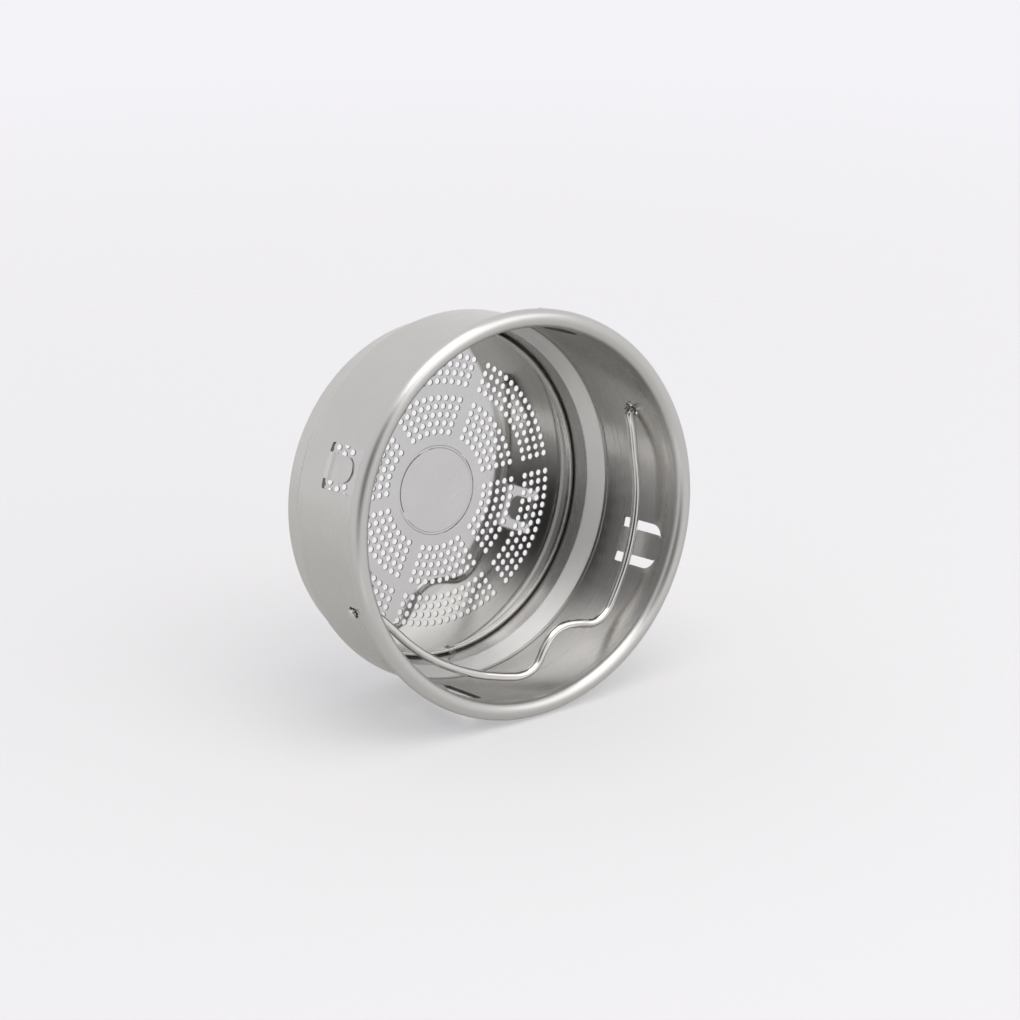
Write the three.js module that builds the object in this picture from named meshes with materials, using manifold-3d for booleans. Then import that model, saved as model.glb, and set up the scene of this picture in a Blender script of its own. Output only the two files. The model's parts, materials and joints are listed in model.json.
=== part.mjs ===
// Basket strainer for the mouth of a flask: a drawn steel cup with a rolled rim, a tapered foot,
// a perforated disc held in the foot by a clamp ring, a wire bail on two pivot holes, and four
// spring tabs lanced out of the cup wall. Millimetres, +Z up out of the mouth, origin at the
// centre of the underside.
import * as THREE from 'three';
import { mergeVertices } from 'three/addons/utils/BufferGeometryUtils.js';
import Module from 'manifold-3d';

// Sheet and rim
const rimDiameter = 52.0; // over the rolled bead
const beadDiameter = 2.3; // thickness of the rolled bead
const sheet = 0.4; // cup sheet thickness
const curlSweep = 290; // degrees of roll, the curl stays open to the wall

// Cup depths, measured down from the bead's centre
const mouthToDisc = 19.45; // to the top of the disc
const footHeight = 2.6; // height of the lower cone above the disc
const shoulderHeight = 2.15; // height of the upper cone
const shoulderInset = 1.28; // what the upper cone takes off the radius
const footInset = 0.42; // what the lower cone takes off the radius
const footRound = 0.9; // outer rounding under the lower cone
const flangeWidth = 1.4; // inward flange that carries the disc

// Disc and clamp ring
const discThickness = 0.25;
const discSidePlay = 0.3; // between the disc's edge and the foot
const ringWidth = 0.45;
const ringHeight = 0.4;
const ringSidePlay = 0.27; // dark groove round the clamp ring

// Perforation: two bands of rows in six sectors with plain spokes between them
const holeDiameter = 0.7;
const holePitch = 1.135; // along a row
const outerRows = 4;
const innerRows = 5;
const outerRowStep = 1.11;
const innerRowStep = 1.095;
const edgeMargin = 3.76; // from the clamp ring's bore to the last row
const bandGap = 2.17; // plain circle between the two bands
const spokeWidth = 2.2; // least distance across a spoke
const sectors = 6;
const discTurn = 10; // degrees, a sector's middle from the pivot line

// Bail
const wireDiameter = 1.1;
const pivotDrop = 5.85; // from the bead's centre to the pivot line
const pivotPlay = 0.3; // round the wire in its hole
const bailSideGap = 1.98; // from the wall to the side of the bail's wire
const bailShoulder = 1.05; // how far the bail swells out beside its kink
const bailKink = 2.39; // how far the kink dips towards the centre
const legInset = 0.8; // from the wall to the outside of the bent leg
const wireEndReach = 0.95; // wire end past the outside of the wall
const bailShift = 0.45; // end play taken up to one side
const bailLift = 4; // degrees above level at rest

// Spring tabs and their windows
const tabCount = 4;
const firstTabAngle = 46; // degrees from the pivot line
const tabWidth = 3.35;
const windowWidth = 5.85;
const windowBottomDrop = 10.0; // from the bead's centre to the window's square end
const windowTopDrop = 1.66; // to the window's round end
const windowCorner = 1.95;
const tongue = 0.45; // wall between the slits below the tab
const tabGap = 0.3; // at the tab's root
const tabCrestReach = 1.65; // crest above the outside of the wall
const tabCrestDrop = 5.7; // from the bead's centre to the crest
const tabEndReach = 1.3; // tab end above the outside of the wall
const tabEndDrop = 2.5; // to the tab's round end

const ringSegments = 60;

// Derived places
const wallLength = mouthToDisc - footHeight - shoulderHeight; // the straight wall takes what is left
const beadRadius = beadDiameter / 2;
const beadCentre = rimDiameter / 2 - beadRadius;
const wallInner = beadCentre - beadRadius;
const wallOuter = wallInner + sheet;
const discTop = sheet + discThickness;
const beadZ = discTop + mouthToDisc;
const wallEndZ = beadZ - wallLength;
const foldZ = wallEndZ - shoulderHeight;
const foldInner = wallInner - shoulderInset;
const footInner = foldInner - footInset;
const footZ = discTop + ringHeight;
const pivotZ = beadZ - pivotDrop;
const discRadius = footInner - sheet * 0.25 - discSidePlay;
const ringOuter = footInner - ringSidePlay;
const ringInner = ringOuter - ringWidth;

const wasm = await Module();
wasm.setup();

function solidOf(geometry) {
  const bare = geometry.clone();
  bare.deleteAttribute('normal');
  bare.deleteAttribute('uv');
  const merged = mergeVertices(bare, 1e-4);
  return new wasm.Manifold(
    new wasm.Mesh({
      numProp: 3,
      vertProperties: new Float32Array(merged.attributes.position.array),
      triVerts: new Uint32Array(merged.index.array),
    }),
  );
}

function geometryOf(solid) {
  const mesh = solid.getMesh();
  const geometry = new THREE.BufferGeometry();
  geometry.setAttribute('position', new THREE.BufferAttribute(new Float32Array(mesh.vertProperties), 3));
  geometry.setIndex(new THREE.BufferAttribute(new Uint32Array(mesh.triVerts), 1));
  return geometry;
}

// A closed section of [radius, height] points turned round the Z axis.
function turned(section, segments) {
  const points = section.map(([r, z]) => new THREE.Vector2(r, z));
  points.push(points[0].clone());
  const geometry = new THREE.LatheGeometry(points, segments);
  geometry.rotateX(Math.PI / 2);
  return solidOf(geometry);
}

// A point on a circle about [r, z], the angle in degrees from the outward direction.
function onCircle(r, z, radius, degrees) {
  const a = THREE.MathUtils.degToRad(degrees);
  return [r + radius * Math.cos(a), z + radius * Math.sin(a)];
}

// An outline of [across, up] points as a prism that runs out along +X from r0 to r1.
function radialPrism(outline, r0, r1) {
  const shape = new THREE.Shape(outline.map(([u, v]) => new THREE.Vector2(u, v)));
  const geometry = new THREE.ExtrudeGeometry(shape, { depth: r1 - r0, bevelEnabled: false });
  const turn = new THREE.Matrix4().makeBasis(
    new THREE.Vector3(0, 1, 0),
    new THREE.Vector3(0, 0, 1),
    new THREE.Vector3(1, 0, 0),
  );
  geometry.applyMatrix4(turn);
  geometry.translate(r0, 0, 0);
  return solidOf(geometry);
}

// ---- Cup body -------------------------------------------------------------------------------

function cupSection() {
  const section = [];
  const innerLip = footInner - flangeWidth;
  const footOuter = footInner + sheet;
  section.push([innerLip, 0]);
  section.push([footOuter - footRound, 0]);
  section.push(onCircle(footOuter - footRound, footRound, footRound, -60));
  section.push(onCircle(footOuter - footRound, footRound, footRound, -30));
  section.push([footOuter, footRound]);
  section.push([foldInner + sheet, foldZ - sheet * 0.3]);
  section.push([wallOuter - sheet * 0.4, wallEndZ - sheet * 0.7]);
  section.push([wallOuter, wallEndZ]);
  // up the outside of the wall, then round the inside of the curl
  const steps = 10;
  for (let i = 0; i <= steps; i += 1) {
    section.push(onCircle(beadCentre, beadZ, beadRadius - sheet, 180 - (curlSweep * i) / steps));
  }
  // back round the outside of the curl, then down the inside of the wall
  for (let i = steps; i >= 0; i -= 1) {
    section.push(onCircle(beadCentre, beadZ, beadRadius, 180 - (curlSweep * i) / steps));
  }
  section.push([wallInner, wallEndZ + sheet * 0.3]);
  section.push([foldInner, foldZ]);
  section.push([footInner, footZ]);
  section.push([footInner - sheet * 0.25, sheet]);
  section.push([innerLip, sheet]);
  return section;
}

function windowOutline() {
  const half = windowWidth / 2;
  const bottom = beadZ - windowBottomDrop;
  const top = beadZ - windowTopDrop;
  const outline = [
    [-half, bottom],
    [-tabWidth / 2, bottom],
    [-tabWidth / 2, bottom + tongue],
    [tabWidth / 2, bottom + tongue],
    [tabWidth / 2, bottom],
    [half, bottom],
  ];
  for (let i = 0; i <= 4; i += 1) {
    const a = (i / 4) * (Math.PI / 2);
    outline.push([
      half - windowCorner + windowCorner * Math.cos(a),
      top - windowCorner + windowCorner * Math.sin(a),
    ]);
  }
  for (let i = 0; i <= 4; i += 1) {
    const a = Math.PI / 2 + (i / 4) * (Math.PI / 2);
    outline.push([
      -half + windowCorner + windowCorner * Math.cos(a),
      top - windowCorner + windowCorner * Math.sin(a),
    ]);
  }
  return outline;
}

function tabAngle(index) {
  return firstTabAngle + (index * 360) / tabCount;
}

let cup = turned(cupSection(), ringSegments);
const windowCutter = radialPrism(windowOutline(), wallInner - 2, wallOuter + 0.6);
for (let i = 0; i < tabCount; i += 1) {
  cup = cup.subtract(windowCutter.rotate([0, 0, tabAngle(i)]));
}
const pivotHoleDiameter = wireDiameter + 2 * pivotPlay;
const pivotDrill = new THREE.CylinderGeometry(
  pivotHoleDiameter / 2,
  pivotHoleDiameter / 2,
  2 * (wallOuter + 1),
  16,
);
pivotDrill.rotateZ(Math.PI / 2);
pivotDrill.translate(0, 0, pivotZ);
cup = cup.subtract(solidOf(pivotDrill));

// ---- Perforated disc ------------------------------------------------------------------------

function rowRadii() {
  const rows = [];
  const last = ringInner - edgeMargin;
  for (let i = 0; i < outerRows; i += 1) {
    rows.push(last - i * outerRowStep);
  }
  const nextBand = rows[rows.length - 1] - bandGap;
  for (let i = 0; i < innerRows; i += 1) {
    rows.push(nextBand - i * innerRowStep);
  }
  return rows;
}

// Each hole as [radius, angle]: a row takes as many as its arc between two spokes has room for.
const holes = [];
for (const radius of rowRadii()) {
  const arc = (radius * Math.PI * 2) / sectors;
  const count = 1 + Math.floor((arc - spokeWidth) / holePitch);
  for (let s = 0; s < sectors; s += 1) {
    const middle = THREE.MathUtils.degToRad(discTurn + (s * 360) / sectors);
    for (let k = 0; k < count; k += 1) {
      holes.push([radius, middle + ((k - (count - 1) / 2) * holePitch) / radius]);
    }
  }
}

// Holes are prisms of the round hole's area: square, or three-sided on a disc that takes many more.
const holeSides = holes.length > 600 ? 3 : 4;
const holeTurn = (2 * Math.PI) / holeSides;
const holeCorner = (holeDiameter / 2) * Math.sqrt((2 * Math.PI) / (holeSides * Math.sin(holeTurn)));

function discShape() {
  const shape = new THREE.Shape();
  shape.absarc(0, 0, discRadius, 0, Math.PI * 2, false);
  for (const [radius, a] of holes) {
    const corners = [];
    for (let c = 0; c < holeSides; c += 1) {
      const b = a + holeTurn / 2 - c * holeTurn;
      corners.push(
        new THREE.Vector2(
          radius * Math.cos(a) + holeCorner * Math.cos(b),
          radius * Math.sin(a) + holeCorner * Math.sin(b),
        ),
      );
    }
    const hole = new THREE.Path();
    hole.setFromPoints(corners);
    hole.closePath();
    shape.holes.push(hole);
  }
  return shape;
}

const discGeometry = new THREE.ExtrudeGeometry(discShape(), {
  depth: discThickness,
  bevelEnabled: false,
  curveSegments: 48,
});

// ---- Clamp ring -----------------------------------------------------------------------------

const ringEdge = ringHeight * 0.3;
const clampRing = turned(
  [
    [ringInner, 0],
    [ringOuter, 0],
    [ringOuter, ringHeight - ringEdge],
    [ringOuter - ringEdge, ringHeight],
    [ringInner + ringEdge, ringHeight],
    [ringInner, ringHeight - ringEdge],
  ],
  ringSegments,
);

// ---- Wire bail ------------------------------------------------------------------------------

// The bail's centre line in its own plane: x along the pivot line, y away from it.
function bailHalf() {
  const side = wallInner - bailSideGap - wireDiameter / 2;
  const leg = wallInner - legInset - wireDiameter / 2;
  const points = [
    [wallOuter + wireEndReach, 0],
    [wallOuter, 0],
    [leg + 0.62, 0],
    [leg + 0.2, 0.16],
    [leg, 0.6],
    [leg - 0.2, 1.5],
    [leg - 0.72, 3.0],
  ];
  const polar = [
    [13.5, 0.25],
    [20, 0.1],
    [27, 0.03],
    [35, 0],
    [42, 0.02],
    [48, 0.12],
    [54, 0.28],
    [60, 0.48],
    [65, 0.74],
    [70, 1],
    [74.5, 0.79],
    [77.5, 0.22],
  ];
  for (const [degrees, swell] of polar) {
    const a = THREE.MathUtils.degToRad(degrees);
    const r = side + swell * bailShoulder;
    points.push([r * Math.cos(a), r * Math.sin(a)]);
  }
  for (const [degrees, dip] of [[81, 0.414], [84, 0.74], [87, 0.94]]) {
    const a = THREE.MathUtils.degToRad(degrees);
    const r = side - dip * bailKink;
    points.push([r * Math.cos(a), r * Math.sin(a)]);
  }
  return { points, middle: side - bailKink };
}

function bailGeometry() {
  const { points, middle } = bailHalf();
  const path = points.map(([x, y]) => new THREE.Vector3(x, -y, 0));
  path.push(new THREE.Vector3(0, -middle, 0));
  for (const [x, y] of points.slice().reverse()) {
    path.push(new THREE.Vector3(-x, -y, 0));
  }
  const curve = new THREE.CatmullRomCurve3(path, false, 'centripetal');
  const section = new THREE.Shape();
  const sides = 8;
  for (let i = 0; i <= sides; i += 1) {
    const a = ((i + 0.5) / sides) * Math.PI * 2;
    const x = (wireDiameter / 2) * Math.cos(a);
    const y = (wireDiameter / 2) * Math.sin(a);
    if (i === 0) {
      section.moveTo(x, y);
    } else {
      section.lineTo(x, y);
    }
  }
  return new THREE.ExtrudeGeometry(section, { steps: 84, extrudePath: curve, bevelEnabled: false });
}

// ---- Spring tabs ----------------------------------------------------------------------------

const tabRootZ = beadZ - windowBottomDrop + tongue + tabGap;

function tabSolid() {
  const mid = sheet / 2;
  const crestR = wallOuter + tabCrestReach - mid;
  const crestZ = beadZ - tabCrestDrop;
  const endR = wallOuter + tabEndReach - mid;
  const endZ = beadZ - tabEndDrop;
  const rootR = wallOuter - mid;
  const rise = crestZ - tabRootZ;
  const fall = endZ - crestZ;
  const line = [
    [rootR, tabRootZ],
    [rootR + 0.08 * (crestR - rootR), tabRootZ + 0.12 * rise],
    [rootR + 0.9 * (crestR - rootR), tabRootZ + 0.86 * rise],
    [crestR, crestZ],
    [crestR - 0.12 * (crestR - endR), crestZ + 0.22 * fall],
    [endR, endZ],
  ];
  // thicken the line by half a sheet each way
  const outside = [];
  const inside = [];
  for (let i = 0; i < line.length; i += 1) {
    const before = line[Math.max(i - 1, 0)];
    const after = line[Math.min(i + 1, line.length - 1)];
    const dr = after[0] - before[0];
    const dz = after[1] - before[1];
    const length = Math.hypot(dr, dz);
    const nr = i === 0 ? 1 : dz / length;
    const nz = i === 0 ? 0 : -dr / length;
    outside.push(new THREE.Vector2(line[i][0] + nr * mid, line[i][1] + nz * mid));
    inside.push(new THREE.Vector2(line[i][0] - nr * mid, line[i][1] - nz * mid));
  }
  const strip = new THREE.ExtrudeGeometry(new THREE.Shape([...outside, ...inside.reverse()]), {
    depth: tabWidth,
    bevelEnabled: false,
  });
  strip.rotateX(Math.PI / 2);
  strip.translate(0, tabWidth / 2, 0);
  // round end of the strip, seen from outside
  const half = tabWidth / 2;
  const outline = [[-half - 1, tabRootZ - 1], [half + 1, tabRootZ - 1]];
  const low = endZ - half;
  outline.push([half + 1, low - 1], [half, low]);
  for (let i = 1; i < 12; i += 1) {
    const a = (i / 12) * Math.PI;
    outline.push([half * Math.cos(a), low + half * Math.sin(a)]);
  }
  outline.push([-half, low], [-half - 1, low - 1]);
  return solidOf(strip).intersect(radialPrism(outline, rootR - 3, crestR + 3));
}

// ---- Materials and assembly -----------------------------------------------------------------

const satinSteel = new THREE.MeshStandardMaterial({ color: 0xbdbdb9, roughness: 0.42, metalness: 1 });
const etchedSteel = new THREE.MeshStandardMaterial({ color: 0xc6c6c2, roughness: 0.18, metalness: 1 });
const ringSteel = new THREE.MeshStandardMaterial({ color: 0xb2b2ad, roughness: 0.3, metalness: 1 });
const wireSteel = new THREE.MeshStandardMaterial({ color: 0xa9a8a3, roughness: 0.3, metalness: 1 });
const springSteel = new THREE.MeshStandardMaterial({ color: 0xb9b9b5, roughness: 0.38, metalness: 1 });

const strainer = new THREE.Group();

const cupBody = new THREE.Mesh(geometryOf(cup), satinSteel);
cupBody.name = 'cup_body';
strainer.add(cupBody);

const disc = new THREE.Mesh(discGeometry, etchedSteel);
disc.name = 'strainer_disc';
disc.position.z = sheet;
strainer.add(disc);

const ring = new THREE.Mesh(geometryOf(clampRing), ringSteel);
ring.name = 'clamp_ring';
ring.position.z = discTop;
strainer.add(ring);

const bail = new THREE.Mesh(bailGeometry(), wireSteel);
bail.name = 'wire_bail';
bail.position.set(bailShift, 0, pivotZ);
bail.rotation.x = -THREE.MathUtils.degToRad(bailLift);
strainer.add(bail);

const tabGeometry = geometryOf(tabSolid());
for (let i = 0; i < tabCount; i += 1) {
  const tab = new THREE.Mesh(tabGeometry, springSteel);
  tab.name = `spring_tab_${i + 1}`;
  tab.rotation.z = THREE.MathUtils.degToRad(tabAngle(i));
  strainer.add(tab);
}

export default strainer;
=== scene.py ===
"""Basket strainer: a drawn steel cup with a rolled rim, a perforated disc under a clamp ring,
a wire bail and four spring leaves. Shapes are worked out in millimetres and placed in metres."""
import json
import math
import random

import bmesh
import bpy
from mathutils import Matrix, Vector


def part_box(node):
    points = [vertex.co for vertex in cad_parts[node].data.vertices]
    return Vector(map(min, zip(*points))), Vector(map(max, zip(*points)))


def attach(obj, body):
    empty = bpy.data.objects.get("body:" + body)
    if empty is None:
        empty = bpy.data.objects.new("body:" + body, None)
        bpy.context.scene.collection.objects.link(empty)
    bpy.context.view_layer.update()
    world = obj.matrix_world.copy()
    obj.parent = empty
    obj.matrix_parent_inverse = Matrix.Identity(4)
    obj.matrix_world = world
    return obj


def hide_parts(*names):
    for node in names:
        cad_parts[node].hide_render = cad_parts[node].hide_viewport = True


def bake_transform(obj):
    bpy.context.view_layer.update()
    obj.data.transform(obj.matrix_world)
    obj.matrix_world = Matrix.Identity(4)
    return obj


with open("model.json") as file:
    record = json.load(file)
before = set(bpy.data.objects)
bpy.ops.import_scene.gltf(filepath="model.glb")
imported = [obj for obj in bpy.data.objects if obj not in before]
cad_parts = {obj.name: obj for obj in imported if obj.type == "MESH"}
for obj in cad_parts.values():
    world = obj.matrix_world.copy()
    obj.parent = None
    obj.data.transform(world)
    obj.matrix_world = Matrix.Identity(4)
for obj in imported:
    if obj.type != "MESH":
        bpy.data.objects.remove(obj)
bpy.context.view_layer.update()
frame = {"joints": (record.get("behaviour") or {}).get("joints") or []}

bl_info = {
    "name": "Basket strainer",
    "version": (1, 0, 0),
    "blender": (4, 5, 0),
    "location": "View3D > Sidebar > Strainer",
    "description": "Builds a flask strainer with a rolled rim, a perforated disc and a wire bail",
    "category": "Object",
}

MM = 0.001
CUP_LOW, CUP_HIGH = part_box("cup_body")
DISC_LOW, DISC_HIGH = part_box("strainer_disc")
RING_LOW, RING_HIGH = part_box("clamp_ring")
JOINTS = {joint["name"]: joint for joint in frame["joints"]}
RING_STEPS = 240  # steps round every turned piece
TAB_ANGLES = (46, 136, 226, 316)  # degrees from the pivot line


def length(name, text, millimetres):
    """A size in metres that the sidebar shows as a length."""
    return bpy.props.FloatProperty(
        name=name, description=text, default=millimetres * MM, min=0, precision=5,
        unit="LENGTH", subtype="DISTANCE")


def number(name, text, value, most):
    return bpy.props.IntProperty(name=name, description=text, default=value, min=1, max=most)


def colour(name, text, value):
    return bpy.props.FloatVectorProperty(
        name=name, description=text, default=value, size=3, min=0, max=1, subtype="COLOR")


def degrees(name, text, value):
    return bpy.props.FloatProperty(
        name=name, description=text, default=math.radians(value), unit="ROTATION", subtype="ANGLE")


class CupSizes(bpy.types.PropertyGroup):
    rim: length("Rim diameter", "Over the rolled rim", (CUP_HIGH.x - CUP_LOW.x) / MM)
    bead: length("Rim thickness", "Thickness of the rolled rim", 2.3)
    sheet: length("Sheet", "Thickness of the cup's sheet", 0.4)
    wall_end: length("Wall end", "Height at which the straight wall starts", 5.4)
    shoulder: length("Shoulder", "Height of the upper cone", 2.15)
    shoulder_inset: length("Shoulder inset", "What the upper cone takes off the radius", 1.28)
    foot_inset: length("Foot inset", "What the lower cone takes off the radius", 0.42)
    foot_round: length("Foot rounding", "Outer rounding under the lower cone", 0.9)
    flange: length("Flange", "Width of the inward flange that carries the disc", 1.4)
    curl: degrees("Curl", "How far the rim is rolled", 290)
    window: length("Window width", "Across a window", 5.85)
    window_low: length("Window foot", "From the rim's centre down to a window's foot", 10.0)
    window_top: length("Window head", "From the rim's centre down to a window's head", 1.66)
    window_corner: length("Window corner", "Rounding of a window's head", 1.95)
    pivot_drop: length("Pivot depth", "From the rim's centre down to the bail's holes", 5.85)
    pivot_hole: length("Pivot hole", "Diameter of the bail's holes", 1.7)


class DiscSizes(bpy.types.PropertyGroup):
    hole: length("Hole mouth", "Diameter of a hole at the faces", 0.83)
    throat: length("Throat", "Diameter of a hole half way through the disc", 0.74)
    pitch: length("Pitch", "From hole to hole along a row", 1.135)
    edge_margin: length("Edge margin", "From the clamp ring's bore to the last row", 3.76)
    outer_step: length("Outer row gap", "From row to row in the outer band", 1.11)
    inner_step: length("Inner row gap", "From row to row in the inner band", 1.095)
    band_gap: length("Band gap", "Plain circle between the two bands", 2.17)
    spoke: length("Spoke", "Plain strip between two sectors", 2.2)
    outer_rows: number("Outer rows", "Rows in the outer band", 4, 9)
    inner_rows: number("Inner rows", "Rows in the inner band", 5, 9)
    sectors: number("Sectors", "Sectors of holes", 6, 24)
    turn: degrees("Turn", "A sector's middle from the pivot line", 10)
    mark: length("Engraved circle", "Middle radius of the engraved circle", 5.68)
    mark_width: length("Engraving width", "Width of the engraved circle", 0.42)
    ring_width: length("Clamp ring", "Width of the clamp ring", 0.45)


class SpringSizes(bpy.types.PropertyGroup):
    wire: length("Wire", "Diameter of the bail's wire", 1.1)
    side_gap: length("Bail gap", "From the wall to the side of the bail", 1.98)
    bail_shoulder: length("Bail shoulder", "Swell of the bail beside its kink", 1.05)
    kink: length("Kink", "How far the kink dips towards the centre", 2.39)
    leg_inset: length("Leg inset", "From the wall to the outside of the bail's leg", 0.8)
    wire_reach: length("Wire end", "Past the outside of the wall", 0.95)
    end_play: length("End play", "How far the bail sits to one side", 0.45)
    lift: degrees("Lift", "The bail above level at rest", 4)
    leaf: length("Leaf width", "Width of a spring leaf", 3.35)
    crest: length("Leaf crest", "Crest of a leaf above the wall", 1.65)
    crest_drop: length("Crest depth", "From the rim's centre down to the crest", 5.7)
    tip: length("Leaf tip", "Tip of a leaf above the wall", 1.3)
    tip_drop: length("Tip depth", "From the rim's centre down to the tip", 2.5)


class Finishes(bpy.types.PropertyGroup):
    drawn: colour("Drawn steel", "The cup", (0.57, 0.56, 0.535))
    etched: colour("Etched steel", "The disc", (0.60, 0.597, 0.59))
    wire: colour("Wire steel", "The bail", (0.67, 0.66, 0.64))
    spring: colour("Spring steel", "The leaves", (0.60, 0.595, 0.58))
    floor: colour("Floor", "The floor", (0.74, 0.735, 0.725))
    air: colour("Background", "What stands behind the object", (0.905, 0.892, 0.925))


def sizes(group):
    """A group's lengths in millimetres, its angles in radians and its counts."""
    found = getattr(bpy.context.scene, "strainer_" + group)
    out = {}
    for key, info in found.bl_rna.properties.items():
        if key in ("rna_type", "name"):
            continue
        value = getattr(found, key)
        if info.type == "FLOAT" and info.subtype == "DISTANCE":
            value = value / MM
        out[key] = value
    return out


# ---- Node graphs ----


class Graph:
    """Adds nodes to a tree. An input is given by name or number, as a value or another output."""

    def __init__(self, tree):
        self.tree = tree

    def feed(self, socket, value):
        if isinstance(value, bpy.types.NodeSocket):
            self.tree.links.new(value, socket)
        else:
            socket.default_value = value

    def add(self, kind, inputs=None, **settings):
        node = self.tree.nodes.new(kind)
        for name, value in settings.items():
            setattr(node, name, value)
        for name, value in (inputs or {}).items():
            self.feed(node.inputs[name], value)
        return node

    def out(self, kind, inputs=None, **settings):
        """A new node's first output."""
        return self.add(kind, inputs, **settings).outputs[0]

    def math(self, operation, *values, clamp=False):
        node = self.add("ShaderNodeMath", operation=operation, use_clamp=clamp)
        for socket, value in zip(node.inputs, values):
            self.feed(socket, value)
        return node.outputs[0]

    # the three sums that come up most
    def times(self, first, second):
        return self.math("MULTIPLY", first, second)

    def plus(self, first, second, clamp=False):
        return self.math("ADD", first, second, clamp=clamp)

    def minus(self, first, second):
        return self.math("SUBTRACT", first, second)

    def vector(self, operation, *values):
        node = self.add("ShaderNodeVectorMath", operation=operation)
        for socket, value in zip(node.inputs, values):
            self.feed(socket, value)
        return node.outputs["Value" if operation in ("LENGTH", "DOT_PRODUCT") else "Vector"]

    def join(self, x, y, z):
        return self.out("ShaderNodeCombineXYZ", {0: x, 1: y, 2: z})

    def scale(self, value, low, high, to_low=0.0, to_high=1.0):
        """Where the value lies between low and high, held inside, told between the other two."""
        return self.out("ShaderNodeMapRange", {
            "Value": value, "From Min": low, "From Max": high,
            "To Min": to_low, "To Max": to_high})

    def noise(self, place, size=1.0, detail=2.0, roughness=0.5, distortion=0.0):
        return self.out("ShaderNodeTexNoise", {
            "Vector": place, "Scale": size, "Detail": detail, "Roughness": roughness,
            "Distortion": distortion})

    def mix(self, factor, first, second):
        node = self.add("ShaderNodeMix", {"Factor": factor}, data_type="RGBA")
        colours = [socket for socket in node.inputs if socket.type == "RGBA"]
        for socket, value in zip(colours, (first, second)):
            self.feed(socket, value)
        return next(socket for socket in node.outputs if socket.type == "RGBA")

    def circle(self, steps, radius):
        return self.out("GeometryNodeCurvePrimitiveCircle", {
            "Resolution": steps, "Radius": radius})

    def lifted(self, shape, height):
        return self.out("GeometryNodeTransform", {
            0: shape, "Translation": self.join(0.0, 0.0, height)})

    def together(self, *shapes):
        node = self.add("GeometryNodeJoinGeometry")
        for shape in shapes:
            self.feed(node.inputs[0], shape)
        return node.outputs[0]

    def real(self, shape):
        """The shape with its instances turned into real ones."""
        return self.out("GeometryNodeRealizeInstances", {0: shape})

    def painted(self, shape, material):
        return self.out("GeometryNodeSetMaterial", {0: shape, "Material": material})


def shape_tree(name, inputs):
    """A geometry tree with named inputs. Returns its graph, its inputs' node and a finish call."""
    tree = bpy.data.node_groups.new(name, "GeometryNodeTree")
    face = tree.interface
    face.new_socket("Geometry", in_out="OUTPUT", socket_type="NodeSocketGeometry")
    face.new_socket("Geometry", in_out="INPUT", socket_type="NodeSocketGeometry")
    for label, kind in inputs:
        face.new_socket(label, in_out="INPUT", socket_type="NodeSocket" + kind)
    graph = Graph(tree)
    given = graph.add("NodeGroupInput").outputs

    def finish(geometry, material=None):
        if material is not None:
            geometry = graph.painted(graph.real(geometry), material)
        graph.add("NodeGroupOutput", {0: geometry})
        return tree

    return graph, given, finish


def add_object(name, data):
    obj = bpy.data.objects.new(name, data)
    bpy.context.scene.collection.objects.link(obj)
    return obj


def new_mesh(name, points, faces=(), edges=()):
    mesh = bpy.data.meshes.new(name)
    mesh.from_pydata([tuple(point) for point in points], list(edges), list(faces))
    return mesh


def grow(tree, outline, **values):
    """Runs a tree on an outline and returns what it makes as a plain mesh."""
    seed = add_object("outline", outline)
    modifier = seed.modifiers.new("Shape", "NODES")
    modifier.node_group = tree
    wanted = {key.replace("_", " "): value for key, value in values.items()}
    for item in tree.interface.items_tree:
        if item.item_type == "SOCKET" and item.in_out == "INPUT" and item.name.lower() in wanted:
            modifier[item.identifier] = wanted.pop(item.name.lower())
    if wanted:
        raise RuntimeError(f"{tree.name} has no input named {sorted(wanted)}")
    return settle(seed)


def settle(obj):
    """The object's shape with its modifiers worked in, as a plain mesh. The object goes."""
    graph = bpy.context.evaluated_depsgraph_get()
    mesh = bpy.data.meshes.new_from_object(obj.evaluated_get(graph), depsgraph=graph)
    bpy.data.objects.remove(obj)
    if not mesh.polygons:
        raise RuntimeError("a shape came out empty")
    return mesh


def edit(mesh, *steps):
    """Runs steps on the mesh's bmesh, then makes a closed mesh face outwards."""
    bm = bmesh.new()
    bm.from_mesh(mesh)
    for step in steps:
        step(bm)
    if bm.calc_volume(signed=True) < 0:
        bmesh.ops.reverse_faces(bm, faces=bm.faces)
    bm.to_mesh(mesh)
    bm.free()
    return mesh


def weld(distance=1e-4):
    return lambda bm: bmesh.ops.remove_doubles(bm, verts=bm.verts, dist=distance)


def outline_mesh(points, closed=True):
    count = len(points)
    edges = [(i, (i + 1) % count) for i in range(count if closed else count - 1)]
    return new_mesh("outline", points, edges=edges)


def place(name, mesh, body, slot, nodes=(), crease=32):
    """Puts a mesh worked out in millimetres into the frame as a finished piece."""
    mesh.transform(Matrix.Scale(MM, 4))
    mesh.name = name
    mesh.polygons.foreach_set("use_smooth", [True] * len(mesh.polygons))
    mesh.set_sharp_from_angle(angle=math.radians(crease))
    obj = add_object(name, mesh)
    if nodes:
        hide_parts(*nodes)
    if body:
        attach(obj, body)
    return obj


# ---- Outlines ----


def arc(centre, radius, start, sweep, steps):
    """Points on a circle, the angles in degrees, both ends included."""
    turns = (math.radians(start + sweep * i / steps) for i in range(steps + 1))
    return [(centre[0] + radius * math.cos(a), centre[1] + radius * math.sin(a)) for a in turns]


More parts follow.
